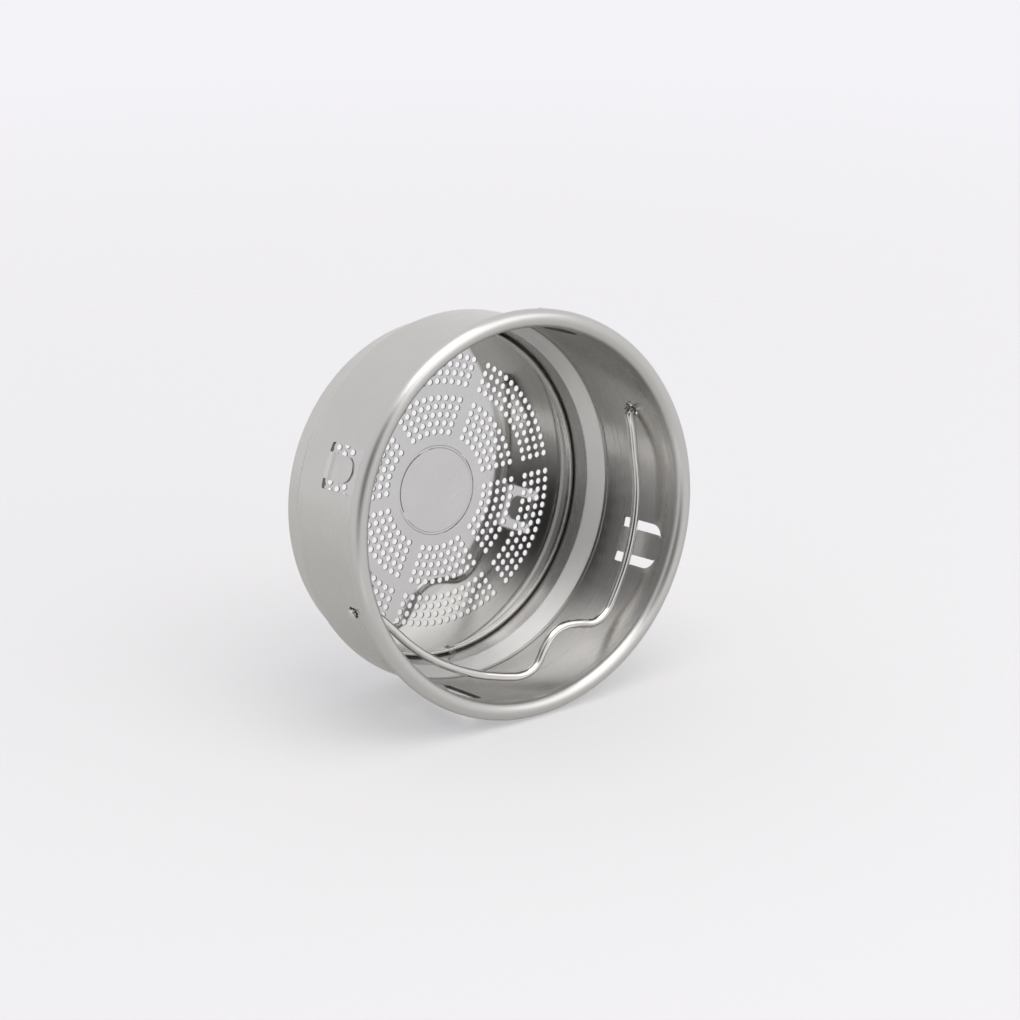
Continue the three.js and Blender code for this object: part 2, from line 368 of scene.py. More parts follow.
def rounded(corners, steps=6):
    """A closed outline from (x, y, rounding) corners."""
    out = []
    for i, (x, y, radius) in enumerate(corners):
        here = Vector((x, y))
        if radius <= 0:
            out.append((x, y))
            continue
        back = Vector(corners[i - 1][:2]) - here
        ahead = Vector(corners[(i + 1) % len(corners)][:2]) - here
        half = back.angle(ahead) / 2
        reach = min(radius / math.tan(half), back.length * 0.45, ahead.length * 0.45)
        radius = reach * math.tan(half)
        centre = here + (back.normalized() + ahead.normalized()).normalized() * (
            radius / math.sin(half))
        first = here + back.normalized() * reach - centre
        last = here + ahead.normalized() * reach - centre
        sweep = first.angle_signed(last)
        count = max(2, math.ceil(abs(sweep) / (math.pi / 2) * steps))
        start = math.atan2(first.y, first.x)
        for k in range(count + 1):
            a = start - sweep * k / count
            out.append((centre.x + radius * math.cos(a), centre.y + radius * math.sin(a)))
    return out


def turned_tree():
    """Sweeps a closed section round the Z axis."""
    graph, given, finish = shape_tree(
        "Turned section", [("Steps", "Int"), ("Radius", "Float"), ("Material", "Material")])
    path = graph.circle(given["Steps"], given["Radius"])
    section = graph.out("GeometryNodeMeshToCurve", {0: given["Geometry"]})
    shell = graph.out("GeometryNodeCurveToMesh", {"Curve": path, "Profile Curve": section})
    return finish(shell, given["Material"])


def turned(section, material):
    """A mesh turned from [radius, height] points."""
    middle = sum(r for r, _ in section) / len(section)
    outline = outline_mesh([(r - middle, -z, 0) for r, z in section])
    tree = bpy.data.node_groups.get("Turned section") or turned_tree()
    mesh = grow(tree, outline, steps=RING_STEPS, radius=middle, material=material)
    return edit(mesh, weld())


def prism(outline, near, far, angle):
    """Vertices and faces of an (across, up) outline run out from near to far at an angle."""
    turn = Matrix.Rotation(math.radians(angle), 3, "Z")
    count = len(outline)
    points = [turn @ Vector((r, u, v)) for r in (near, far) for u, v in outline]
    faces = [tuple(range(count))[::-1], tuple(range(count, 2 * count))]
    faces += [(i, (i + 1) % count, count + (i + 1) % count, count + i) for i in range(count)]
    return points, faces


# ---- Finishes ----


def scratch_marks(graph, spot):
    """Thin straight lines in three directions, each only here and there, as one at a line."""
    marks = 0.0
    for turn, reach in ((0.5, 0.9), (2.1, 1.3), (-0.9, 0.7)):
        line = graph.out("ShaderNodeMapping", {
            "Vector": spot, "Rotation": (turn, turn * 1.7, turn * 0.6),
            "Scale": (0.05, reach, reach)})
        wave = graph.noise(line, 1.0, 1.0, 0.4, 0.15)
        off = graph.math("ABSOLUTE", graph.minus(wave, 0.5))
        thin = graph.scale(off, 0.0, 0.0035, 1.0, 0.0)
        rare = graph.scale(graph.noise(spot, 0.5 * reach, 1.0), 0.52, 0.62)
        marks = graph.math("MAXIMUM", marks, graph.times(thin, rare))
    return marks


def in_zone(graph, radius, z, zone):
    """One inside a band of heights, up to the radius that runs from the band's foot to its head."""
    (low_r, low), (high_r, high), _, _, fade = zone
    play = 0.2  # how far past that radius still counts, in millimetres
    within = graph.times(graph.scale(z, low - 0.1, low + 0.1),
                         graph.scale(z, high - fade, high + 0.1, 1.0, 0.0))
    limit = graph.scale(z, low, high, low_r + play, high_r + play)
    return graph.times(within, graph.math("LESS_THAN", radius, limit))


def steel(name, base, roughness, lines=(9.0, 0.06), line_depth=0.6, blotch=0.06, scratches=0.5,
          contrast=0.10, place_name=None, stretch=0.0, zones=(), relief=1.0):
    """Bright metal with drawing lines that run round the Z axis, or along a piece's own places.

    Lines are the count a millimetre across and along them, and stretch is how far they draw a
    highlight out. A zone is (radius, height) of its foot and of its head, a colour, what it
    adds to the roughness and how softly its head fades out."""
    found = bpy.data.materials.get(name)
    if found:
        return found
    material = bpy.data.materials.new(name)
    material.use_nodes = True
    material.node_tree.nodes.clear()
    graph = Graph(material.node_tree)
    spot = graph.vector("SCALE", graph.add("ShaderNodeTexCoord").outputs["Object"])
    spot.node.inputs["Scale"].default_value = 1 / MM
    x, y, z = graph.add("ShaderNodeSeparateXYZ", {0: spot}).outputs
    radius = graph.vector("LENGTH", graph.join(x, y, 0.0))
    if place_name:
        along = graph.add("ShaderNodeAttribute", attribute_name=place_name).outputs["Vector"]
        a, b, c = graph.add("ShaderNodeSeparateXYZ", {0: along}).outputs
        dense = (lines[1], lines[0], lines[0])
    else:
        a, b, c = x, y, graph.math("MULTIPLY_ADD", radius, 0.8, z)
        dense = (lines[1], lines[1], lines[0])
    fine = graph.join(*(graph.times(place, count) for place, count in zip((a, b, c), dense)))
    drawn = graph.noise(fine, 1.0, 5.0, 0.65)
    cloud = graph.noise(spot, 0.22, 4.0, 0.55, 0.4)
    grain = graph.noise(spot, 14.0, 3.0, 0.6)
    marks = graph.times(scratch_marks(graph, spot), scratches)
    tone = graph.plus(graph.times(cloud, 0.6), graph.times(drawn, 0.4))
    dark = tuple(value * (1 - contrast) for value in base) + (1,)
    pale = tuple(min(1, value * (1 + contrast)) for value in base) + (1,)
    worn = (0.86, 0.85, 0.83, 1)
    shade = graph.mix(graph.scale(tone, 0.3, 0.7), dark, pale)
    shade = graph.mix(graph.times(marks, 0.35), shade, worn)
    softer = 0.0
    # a zone's colour can be painted shade or a painted highlight, as inside the cup
    for zone in zones:
        within = in_zone(graph, radius, z, zone)
        _, _, tint, extra, _ = zone
        shade = graph.mix(within, shade, (*tint, 1))
        softer = graph.math("MAXIMUM", softer, graph.times(within, extra))
    rough = graph.plus(roughness - blotch / 2, graph.times(cloud, blotch))
    rough = graph.plus(rough, graph.scale(drawn, 0.35, 0.7, -0.12 * roughness, 0.2 * roughness))
    rough = graph.plus(rough, graph.times(marks, 0.1))
    rough = graph.plus(rough, softer, clamp=True)
    height = graph.plus(graph.times(drawn, line_depth), graph.times(grain, 0.25))
    height = graph.minus(height, graph.times(marks, 0.5))
    bump = graph.out("ShaderNodeBump", {
        "Strength": 0.35, "Distance": 0.004 * MM * relief, "Height": height})
    shader = graph.add("ShaderNodeBsdfPrincipled", {
        "Base Color": shade, "Metallic": 1.0, "Roughness": rough, "Normal": bump})
    if stretch:
        shader.inputs["Anisotropic"].default_value = stretch
        shader.inputs["Anisotropic Rotation"].default_value = 0.25
        round_z = graph.out("ShaderNodeTangent", direction_type="RADIAL", axis="Z")
        graph.feed(shader.inputs["Tangent"], round_z)
    graph.add("ShaderNodeOutputMaterial", {"Surface": shader.outputs[0]})
    return material


def coarse_steel(name, base, roughness, lines, line_depth=0.8):
    """Cut, torn or etched metal: uneven the same way all over, and without scratches."""
    return steel(name, base, roughness, (lines, lines), line_depth, blotch=0.1, scratches=0.0,
                 contrast=0.2)


def finish_colours():
    found = bpy.context.scene.strainer_finishes
    return {key: tuple(getattr(found, key)) for key in (
        "drawn", "etched", "wire", "spring", "floor", "air")}


def burr(seed, at, facing, count, inner, outer, rise, tall=None):
    """Torn petals round a hole at a point of a wall, standing up along the facing direction.
    A tall pair is a direction and the rise of the petals on that side."""
    dice = random.Random(seed)
    facing = Vector(facing).normalized()
    level = abs(facing.z) < 0.9
    side = facing.cross(Vector((0, 0, 1)) if level else Vector((1, 0, 0))).normalized()
    up = side.cross(facing)
    sunk = 0.06  # how deep a petal's foot sits in the wall
    points, faces = [], []
    for k in range(count):
        a = math.tau * (k + dice.uniform(-0.25, 0.25)) / count
        half = math.pi / count * dice.uniform(0.5, 0.95)
        way = side * math.cos(a) + up * math.sin(a)
        height = rise * dice.uniform(0.5, 1.0)
        if tall:
            height += max(0.0, way.dot(Vector(tall[0]).normalized())) * (tall[1] - rise)
        first = len(points)
        for turn, radius, lift in ((-half, inner, -sunk), (half, inner, -sunk),
                                   (half * 0.8, outer, -sunk), (-half * 0.8, outer, -sunk),
                                   (dice.uniform(-0.6, 0.6) * half,
                                    outer + dice.uniform(-0.1, 0.2), height)):
            spot = side * math.cos(a + turn) + up * math.sin(a + turn)
            points.append(Vector(at) + spot * radius + facing * lift)
        faces += [tuple(first + i for i in face) for face in (
            (0, 3, 2, 1), (0, 1, 4), (1, 2, 4), (2, 3, 4), (3, 0, 4))]
    return edit(new_mesh("burr", points, faces),
                lambda bm: bmesh.ops.recalc_face_normals(bm, faces=bm.faces))


# ---- Cup ----


def cup_places(s):
    """The cup's own heights and radii in millimetres."""
    p = {}
    p["bead_r"] = s["rim"] / 2 - s["bead"] / 2
    p["bead_z"] = CUP_HIGH.z / MM - s["bead"] / 2
    p["inner"] = p["bead_r"] - s["bead"] / 2
    p["outer"] = p["inner"] + s["sheet"]
    p["fold_z"] = s["wall_end"] - s["shoulder"]
    p["fold"] = p["inner"] - s["shoulder_inset"]
    p["foot"] = p["fold"] - s["foot_inset"]
    p["lip"] = p["foot"] - s["flange"]
    p["foot_z"] = RING_HIGH.z / MM
    p["window_low"] = p["bead_z"] - s["window_low"]
    p["window_top"] = p["bead_z"] - s["window_top"]
    p["pivot_z"] = p["bead_z"] - s["pivot_drop"]
    return p


def cup_section(s, p):
    sheet = s["sheet"]
    curl = math.degrees(s["curl"])
    bead = (p["bead_r"], p["bead_z"])
    half = s["bead"] / 2
    below = rounded([
        (p["lip"], 0, 0.06),
        (p["foot"] + sheet, 0, s["foot_round"]),
        (p["fold"] + sheet, p["fold_z"] - sheet * 0.3, 0.5),
        (p["outer"], s["wall_end"], 0.7),
        (p["outer"], p["bead_z"], 0),
        (p["inner"], p["bead_z"], 0),
        (p["inner"], s["wall_end"] + 0.85, 0.05),
        (p["inner"] + 0.1, s["wall_end"] + 0.7, 0.05),
        (p["inner"], s["wall_end"] + 0.55, 0.05),
        (p["inner"], s["wall_end"] + sheet * 0.3, 0.2),
        (p["fold"], p["fold_z"], 0.35),
        (p["foot"], p["foot_z"], 0.8),
        (p["foot"] - sheet * 0.25, sheet, 0.15),
        (p["lip"], sheet, 0.06),
    ], 8)
    split = next(i for i, point in enumerate(below) if point == (p["outer"], p["bead_z"]))
    inside = arc(bead, half - sheet, 180, -curl, 40)
    outside = arc(bead, half, 180 - curl, curl, 56)
    start, steps = s["wall_end"] + 1, 14
    rise = [(p["outer"], start + (p["bead_z"] - start) * i / steps) for i in range(steps)]
    fall = [(p["inner"], z) for _, z in reversed(rise)]
    return below[:split] + rise + inside + outside + fall + below[split + 2:]


def window_outline(s, p):
    half = s["window"] / 2
    corner = s["window_corner"]
    top = p["window_top"] - corner
    sides = arc((half - corner, top), corner, 0, 90, 10)
    sides += arc((corner - half, top), corner, 90, 90, 10)
    toe = 0.25  # rounding of the foot's corners
    foot = arc((toe - half, p["window_low"] + toe), toe, 180, 90, 4)
    foot += arc((half - toe, p["window_low"] + toe), toe, 270, 90, 4)
    return sides + foot


def cup_painted_light_and_rim_zones(s, p):
    """The cup's inside has painted shade on the lower cone, a painted highlight on the upper one
    and painted shade low on the wall, darker towards the bottom, and its rim is softer all round."""
    lip = (p["foot"], p["foot_z"] - 0.6)
    fold = (p["fold"], p["fold_z"])
    wall = (p["inner"], s["wall_end"] + 0.1)
    clear, above = p["inner"] + 9, 99  # a radius and a height past the whole cup
    return (
        # painted shade in the hollow of the lower cone, down by the clamp ring
        (lip, fold, (0.42, 0.415, 0.405), 0.0, 0.1),
        # painted highlight on the upper cone, which is also made rougher
        (fold, wall, (1.0, 0.995, 0.985), 0.24, 0.1),
        # painted shade low on the inside of the wall, fading out upwards
        (wall, (p["inner"], p["bead_z"] - 5), (0.40, 0.392, 0.375), 0.0, 7.0),
        ((clear, p["bead_z"] - 0.8), (clear, above), (0.57, 0.565, 0.545), 0.09, 0.1))


class STRAINER_OT_cup(bpy.types.Operator):
    """Builds the cup with its rolled rim, its four windows and its two pivot holes"""

    bl_idname = "strainer.cup"
    bl_label = "Cup"

    def execute(self, context):
        s = sizes("cup")
        p = cup_places(s)
        # the cup's zones paint shade and a highlight into its colour inside
        paint = steel("Drawn steel", finish_colours()["drawn"], 0.24, lines=(3.0, 0.03),
                      line_depth=0.3, blotch=0.03, scratches=0.05, contrast=0.03, stretch=0.6,
                      relief=0.12, zones=cup_painted_light_and_rim_zones(s, p))
        shell = turned(cup_section(s, p), paint)
        points, faces = [], []
        cuts = [(window_outline(s, p), angle) for angle in TAB_ANGLES]
        hole = arc((0, p["pivot_z"]), s["pivot_hole"] / 2, 0, 360, 32)[:-1]
        cuts += [(hole, 0), (hole, 180)]
        near, far = p["inner"] - 0.9, p["outer"] + 0.7  # past both faces of the wall
        for outline, angle in cuts:
            more, sides = prism(outline, near, far, angle)
            faces += [tuple(i + len(points) for i in side) for side in sides]
            points += more
        cutter_mesh = edit(new_mesh("cutter", points, faces))
        # the cut faces of the windows and pivot holes take a dark colour: painted shade inside the
        # openings
        cutter_mesh.materials.append(coarse_steel("Cut edge", (0.16, 0.155, 0.15), 0.45, 6, 0.6))
        cutter = add_object("cutter", cutter_mesh)
        body = add_object("cup blank", shell)
        modifier = body.modifiers.new("Windows", "BOOLEAN")
        modifier.operation = "DIFFERENCE"
        modifier.solver = "EXACT"
        modifier.material_mode = "TRANSFER"
        modifier.object = cutter
        mesh = edit(settle(body), weld(2e-4))
        bpy.data.objects.remove(cutter)
        place("cup_shell", mesh, "cup", "satin_steel", ["cup_body"])
        rough = coarse_steel("Torn steel", finish_colours()["drawn"], 0.2, 6)
        edge = s["pivot_hole"] / 2
        for name, mesh in (
                ("burr_inside", burr(3, (p["inner"], 0, p["pivot_z"]), (-1, 0, 0), 9, edge,
                                     edge + 0.3, 0.2, ((0, 0.5, -1), 0.55))),
                ("burr_outside", burr(8, (-p["outer"], 0, p["pivot_z"]), (-1, 0, 0), 7, edge,
                                      edge + 0.14, 0.1))):
            mesh.materials.append(rough)
            place(name, mesh, "cup", "satin_steel", crease=20)
        return {"FINISHED"}


# ---- Disc and clamp ring ----


def row_tree():
    """Points along one circle of holes, in sectors with a plain strip between them."""
    graph, given, finish = shape_tree("Hole row", [
        ("Radius", "Float"), ("Pitch", "Float"), ("Spoke", "Float"), ("Sectors", "Int"),
        ("Turn", "Float")])
    radius, pitch, sectors = given["Radius"], given["Pitch"], given["Sectors"]
    sector = graph.math("DIVIDE", math.tau, sectors)
    room = graph.minus(graph.times(radius, sector), given["Spoke"])
    count = graph.plus(graph.math("FLOOR", graph.math("DIVIDE", room, pitch)), 1.0)
    index = graph.out("GeometryNodeInputIndex")
    which = graph.math("FLOOR", graph.math("DIVIDE", graph.plus(index, 0.5), count))
    along = graph.minus(index, graph.times(which, count))
    middle = graph.times(graph.minus(count, 1.0), 0.5)
    off = graph.math("DIVIDE", graph.times(graph.minus(along, middle), pitch), radius)
    angle = graph.plus(graph.math("MULTIPLY_ADD", which, sector, given["Turn"]), off)
    spot = graph.join(graph.times(radius, graph.math("COSINE", angle)),
                      graph.times(radius, graph.math("SINE", angle)), 0.0)
    return finish(graph.out("GeometryNodePoints", {
        "Count": graph.times(count, sectors), "Position": spot}))


def disc_tree(outer_rows, inner_rows):
    """A disc with rows of waisted holes and a round opening in the middle of each face."""
    labels = ["Radius", "Low", "High", "Last row", "Outer step", "Inner step", "Band gap",
              "Pitch", "Spoke", "Turn", "Hole", "Throat", "Middle"]
    graph, given, finish = shape_tree("Perforated disc", [(label, "Float") for label in labels] + [
        ("Sectors", "Int"), ("Steps", "Int"), ("Hole steps", "Int"),
        ("Material", "Material"), ("Hole material", "Material")])
    thickness = graph.minus(given["High"], given["Low"])
    middle_z = graph.times(graph.plus(given["High"], given["Low"]), 0.5)

    # the holes' centres, row by row inwards
    tree = row_tree()
    radius = given["Last row"]
    rows = []
    for i in range(outer_rows + inner_rows):
        row = graph.add("GeometryNodeGroup", node_tree=tree)
        graph.feed(row.inputs["Radius"], radius)
        for label in ("Pitch", "Spoke", "Sectors", "Turn"):
            graph.feed(row.inputs[label], given[label])
        rows.append(row.outputs[0])
        step = "Outer step" if i < outer_rows - 1 else (
            "Band gap" if i == outer_rows - 1 else "Inner step")
        radius = graph.minus(radius, given[step])
    spots = graph.together(*rows)

    # the two faces, with the holes and the middle left open, and the rim between them
    half_hole = graph.times(given["Hole"], 0.5)
    mouths = graph.out("GeometryNodeInstanceOnPoints", {
        "Points": spots, "Instance": graph.circle(given["Hole steps"], half_hole)})
    rings = graph.together(graph.circle(given["Steps"], given["Radius"]),
                           graph.circle(given["Steps"], given["Middle"]), graph.real(mouths))
    sheet = graph.out("GeometryNodeFillCurve", {0: rings}, mode="TRIANGLES")
    high = graph.lifted(sheet, given["High"])
    low = graph.out("GeometryNodeFlipFaces", {0: graph.lifted(sheet, given["Low"])})
    edge = graph.lifted(graph.out("GeometryNodeMeshCylinder", {
        "Vertices": given["Steps"], "Radius": given["Radius"], "Depth": thickness},
        fill_type="NONE"), middle_z)

    # one hole's wall, narrower half way down, at every centre
    bore = graph.out("GeometryNodeMeshCylinder", {
        "Vertices": given["Hole steps"], "Side Segments": 2, "Radius": half_hole,
        "Depth": thickness}, fill_type="NONE")
    here = graph.out("GeometryNodeInputPosition")
    height = graph.add("ShaderNodeSeparateXYZ", {0: here}).outputs[2]
    waist = graph.math("COMPARE", height, 0.0, 1e-3)
    ratio = graph.math("DIVIDE", given["Throat"], given["Hole"])
    narrow = graph.plus(1.0, graph.times(waist, graph.minus(ratio, 1.0)))
    pinched = graph.vector("MULTIPLY", here, graph.join(narrow, narrow, 1.0))
    bore = graph.out("GeometryNodeSetPosition", {0: bore, "Position": pinched})
    bore = graph.lifted(graph.out("GeometryNodeFlipFaces", {0: bore}), middle_z)
    bores = graph.real(graph.out("GeometryNodeInstanceOnPoints", {
        "Points": spots, "Instance": bore}))

    # the hole walls take their own material, which carries painted shade
    plain = graph.painted(graph.together(edge, low, high), given["Material"])
    both = graph.together(graph.painted(bores, given["Hole material"]), plain)
    return finish(graph.out("GeometryNodeMergeByDistance", {0: both, "Distance": 0.002}))


def close_middle(rings, z):
    """Fills a round opening at height z with rings of (radius, height) down to the centre."""
    def step(bm):
        first = [v for v in bm.verts if abs(v.co.z - z) < 1e-3
                 and abs(math.hypot(v.co.x, v.co.y) - rings[0][0]) < 1e-3]
        last = sorted(first, key=lambda v: math.atan2(v.co.y, v.co.x))
        if len(last) != RING_STEPS:
            raise RuntimeError(f"the disc's middle has {len(last)} points")
        paint = first[0].link_faces[0].material_index
        for radius, height in rings[1:]:
            row = [bm.verts.new((v.co.x / math.hypot(v.co.x, v.co.y) * radius,
                                 v.co.y / math.hypot(v.co.x, v.co.y) * radius, height))
                   for v in last]
            for i, v in enumerate(row):
                j = (i + 1) % len(row)
                quad = (last[i], last[j], row[j], v)
                bm.faces.new(quad).material_index = paint
            last = row
        hub = bm.verts.new((0, 0, rings[-1][1]))
        for i, v in enumerate(last):
            bm.faces.new((v, last[(i + 1) % len(last)], hub)).material_index = paint
        bmesh.ops.recalc_face_normals(bm, faces=bm.faces)
    return step


class STRAINER_OT_disc(bpy.types.Operator):
    """Builds the perforated disc with its engraved circle"""

    bl_idname = "strainer.disc"
    bl_label = "Perforated disc"

    def execute(self, context):
        s = sizes("disc")
        tint = finish_colours()["etched"]
        face = steel("Etched steel", tint, 0.045, lines=(1.6, 1.6), line_depth=0.1, blotch=0.02,
                     contrast=0.04)
        # the hole walls are painted dark: painted shade inside the holes
        wall = coarse_steel("Hole walls", tuple(v * 0.42 for v in tint), 0.42, 9)
        low, high = DISC_LOW.z / MM, DISC_HIGH.z / MM
        middle = s["mark"] + 2 * s["mark_width"]
        mesh = grow(
            disc_tree(s["outer_rows"], s["inner_rows"]), bpy.data.meshes.new("nothing"),
            radius=DISC_HIGH.x / MM, low=low, high=high,
            last_row=RING_HIGH.x / MM - s["ring_width"] - s["edge_margin"],
            outer_step=s["outer_step"], inner_step=s["inner_step"], band_gap=s["band_gap"],
            pitch=s["pitch"], spoke=s["spoke"], turn=s["turn"], hole=s["hole"],
            throat=s["throat"], middle=middle, sectors=s["sectors"], steps=RING_STEPS,
            hole_steps=16, material=face, hole_material=wall)
        half = s["mark_width"] / 2
        depth, slope = 0.12, 0.1  # of the engraving and of its sides
        far, near = s["mark"] + half, s["mark"] - half
        engraved = [(middle, high), (far, high), (far - slope, high - depth),
                    (near + slope, high - depth), (near, high), (s["mark"] / 2, high)]
        edit(mesh, close_middle(engraved, high),
             close_middle([(middle, low), (middle / 2, low)], low))
        place("perforated_disc", mesh, "cup", "etched_steel", ["strainer_disc"], 25)
        return {"FINISHED"}


class STRAINER_OT_clamp_ring(bpy.types.Operator):
    """Builds the ring that holds the disc down"""

    bl_idname = "strainer.clamp_ring"
    bl_label = "Clamp ring"

    def execute(self, context):
        s = sizes("disc")
        outer, low, high = RING_HIGH.x / MM, RING_LOW.z / MM, RING_HIGH.z / MM
        inner = outer - s["ring_width"]
        section = rounded([(inner, low, 0.03), (outer, low, 0.03), (outer, high, 0.16),
                           (inner, high, 0.16)], 8)
        paint = steel("Ring steel", finish_colours()["drawn"], 0.27, lines=(7, 0.1))
        place("clamp_band", turned(section, paint), "cup", "ring_steel", ["clamp_ring"])
        turn = math.radians(250)  # the tack's place round the ring
        middle = outer - s["ring_width"] / 2
        tack = burr(5, (middle * math.cos(turn), middle * math.sin(turn), high - 0.06), (0, 0, 1),
                    7, 0.1, 0.55, 0.34)
        tack.materials.append(paint)
        place("clamp_tack", tack, "cup", "ring_steel", crease=20)
        return {"FINISHED"}


# ---- Bail ----


def bail_line(s):
    """The bail's centre line in its own plane: x along the pivot line, y away from it."""
    cup = sizes("cup")
    p = cup_places(cup)
    side = p["inner"] - s["side_gap"] - s["wire"] / 2
    leg = p["inner"] - s["leg_inset"] - s["wire"] / 2
    points = [(p["outer"] + s["wire_reach"], 0), (p["outer"], 0), (leg + 0.62, 0),
              (leg + 0.2, 0.16), (leg, 0.6), (leg - 0.2, 1.5), (leg - 0.72, 3.0)]
    # degrees from the pivot line, and the share of the shoulder's or of the kink's size
    swells = [(13.5, 0.25), (20, 0.1), (27, 0.03), (35, 0), (42, 0.02), (48, 0.12), (54, 0.28),
              (60, 0.48), (65, 0.74), (70, 1), (74.5, 0.79), (77.5, 0.22)]
    dips = [(81, 0.414), (84, 0.74), (87, 0.94)]
    polar = [(a, side + swell * s["bail_shoulder"]) for a, swell in swells]
    polar += [(a, side - dip * s["kink"]) for a, dip in dips]
    points += [(r * math.cos(math.radians(a)), r * math.sin(math.radians(a))) for a, r in polar]
    whole = [Vector((x, -y, 0)) for x, y in points] + [Vector((0, s["kink"] - side, 0))]
    return whole + [Vector((-x, -y, 0)) for x, y in reversed(points)]


def between(first, last, start, end, t):
    """The point at t on the line that is at first at start and at last at end."""
    return first * ((end - t) / (end - start)) + last * ((t - start) / (end - start))


def smooth_line(points, steps=14):
    """A centripetal spline through the points."""
    ends = [points[0] * 2 - points[1], *points, points[-1] * 2 - points[-2]]
    out = []
    for i in range(1, len(ends) - 2):
        a, b, c, d = ends[i - 1:i + 3]
        knots = [0.0]
        for first, second in ((a, b), (b, c), (c, d)):
            knots.append(knots[-1] + max((second - first).length, 1e-6) ** 0.5)
        t0, t1, t2, t3 = knots
        for k in range(steps):
            t = t1 + (t2 - t1) * k / steps
            ab = between(a, b, t0, t1, t)
            bc = between(b, c, t1, t2, t)
            cd = between(c, d, t2, t3, t)
            abc = between(ab, bc, t0, t2, t)
            bcd = between(bc, cd, t1, t3, t)
            out.append(between(abc, bcd, t1, t2, t))
    return out + [points[-1]]


def wire_tree():
    """A round wire along a line, thinner where the line's girth is below one."""
    graph, given, finish = shape_tree("Bent wire", [
        ("Diameter", "Float"), ("Sides", "Int"), ("Material", "Material")])
    path = graph.out("GeometryNodeMeshToCurve", {0: given["Geometry"]})
    path = graph.out("GeometryNodeSetCurveNormal", {0: path}, mode="Z_UP")
    ring = graph.circle(given["Sides"], graph.times(given["Diameter"], 0.5))
    girth = graph.out("GeometryNodeInputNamedAttribute", {"Name": "girth"}, data_type="FLOAT")
    wire = graph.out("GeometryNodeCurveToMesh", {
        "Curve": path, "Profile Curve": ring, "Scale": girth, "Fill Caps": True})
    return finish(wire, given["Material"])


class STRAINER_OT_bail(bpy.types.Operator):
    """Builds the wire bail, bent from one length of wire"""

    bl_idname = "strainer.bail"
    bl_label = "Wire bail"

    def execute(self, context):
        s = sizes("springs")
        line = smooth_line(bail_line(s))
        # how far in from an end, and the wire's girth there
        ease = [(0.0, 0.74), (0.03, 0.88), (0.08, 0.96), (0.15, 1.0)]
        ends = []
        for point, far in ((line[0], line[1]), (line[-1], line[-2])):
            way = (far - point).normalized()
            ends.append([point + way * reach for reach, _ in ease])
        inner = [v for v in line if all((v - end[0]).length > 0.2 for end in ends)]
        line = ends[0] + inner + ends[1][::-1]
        girths = [g for _, g in ease]
        girths = girths + [1.0] * len(inner) + girths[::-1]
        turn = Matrix.Rotation(-s["lift"], 3, "X")
        joint = Vector(JOINTS["bail_fold"]["pos_m"]) / MM
        shift = Vector((s["end_play"], 0, joint.z))
        outline = outline_mesh([turn @ v + shift for v in line], closed=False)
        outline.attributes.new("girth", "FLOAT", "POINT").data.foreach_set("value", girths)
        paint = steel("Wire steel", finish_colours()["wire"], 0.1, lines=(5.0, 0.25),
                      line_depth=0.5, blotch=0.05, scratches=0.3, contrast=0.08,
                      place_name="wire_place", relief=0.15)
        sides = 24
        mesh = grow(wire_tree(), outline, diameter=s["wire"], sides=sides, material=paint)
        along = [0.0]
        for first, second in zip(line, line[1:]):
            along.append(along[-1] + (second - first).length)
        spots = []
        for i in range(len(mesh.vertices)):
            a = math.tau * (i % sides) / sides
            spots += (along[i // sides], math.cos(a) * s["wire"] / 2, math.sin(a) * s["wire"] / 2)
        mesh.attributes.new("wire_place", "FLOAT_VECTOR", "POINT").data.foreach_set("vector", spots)
        edit(mesh)
        place("bail_wire", mesh, "bail", "wire_steel", ["wire_bail"], 40)
        return {"FINISHED"}


# ---- Spring leaves ----


def leaf_mesh(s, angle):
    """One leaf: a strip that springs out of the wall from the window's foot, with a round end."""
    cup = sizes("cup")
    p = cup_places(cup)
    mid = cup["sheet"] / 2
    root_r = p["outer"] - mid
    root_z = p["window_low"]
    hinge_z = JOINTS["tab_1_flex"]["pos_m"][2] / MM + 0.15
    crest = Vector((p["outer"] + s["crest"] - mid, 0, p["bead_z"] - s["crest_drop"]))
    tip = Vector((p["outer"] + s["tip"] - mid, 0, p["bead_z"] - s["tip_drop"]))
    reach, rise, fall = crest.x - root_r, crest.z - hinge_z, tip.z - crest.z
    line = smooth_line([
        Vector((root_r, 0, root_z)), Vector((root_r, 0, hinge_z)),
        Vector((root_r + 0.08 * reach, 0, hinge_z + 0.12 * rise)),
        Vector((root_r + 0.49 * reach, 0, hinge_z + 0.49 * rise)),
        Vector((root_r + 0.9 * reach, 0, hinge_z + 0.86 * rise)),
        crest,
        Vector((crest.x - 0.12 * (crest.x - tip.x), 0, crest.z + 0.22 * fall)),
        tip], 10)
    half = s["leaf"] / 2
    low = tip.z - half
    heights = [(v.x, v.z, half) for v in line if v.z < low - 0.05]

    def radius_at(z):
        for first, second in zip(line, line[1:]):
            if first.z <= z <= second.z:
                share = (z - first.z) / (second.z - first.z)
                return first.x + (second.x - first.x) * share
        return tip.x

    tip_steps = 14
    for i in range(tip_steps + 1):
        a = math.pi / 2 * min(i / tip_steps, 0.985)
        z = low + half * math.sin(a)
        heights.append((radius_at(z), z, half * math.cos(a)))
    columns = 12
    turn = Matrix.Rotation(math.radians(angle), 3, "Z")
    points = []
    for r, z, wide in heights:
        for k in range(columns + 1):
            u = wide * (2 * k / columns - 1)
            points.append(turn @ Vector((math.sqrt(r * r - u * u), u, z)))
    step = columns + 1
    faces = [(i * step + k, i * step + k + 1, (i + 1) * step + k + 1, (i + 1) * step + k)
             for i in range(len(heights) - 1) for k in range(columns)]
    return new_mesh("leaf", points, faces)


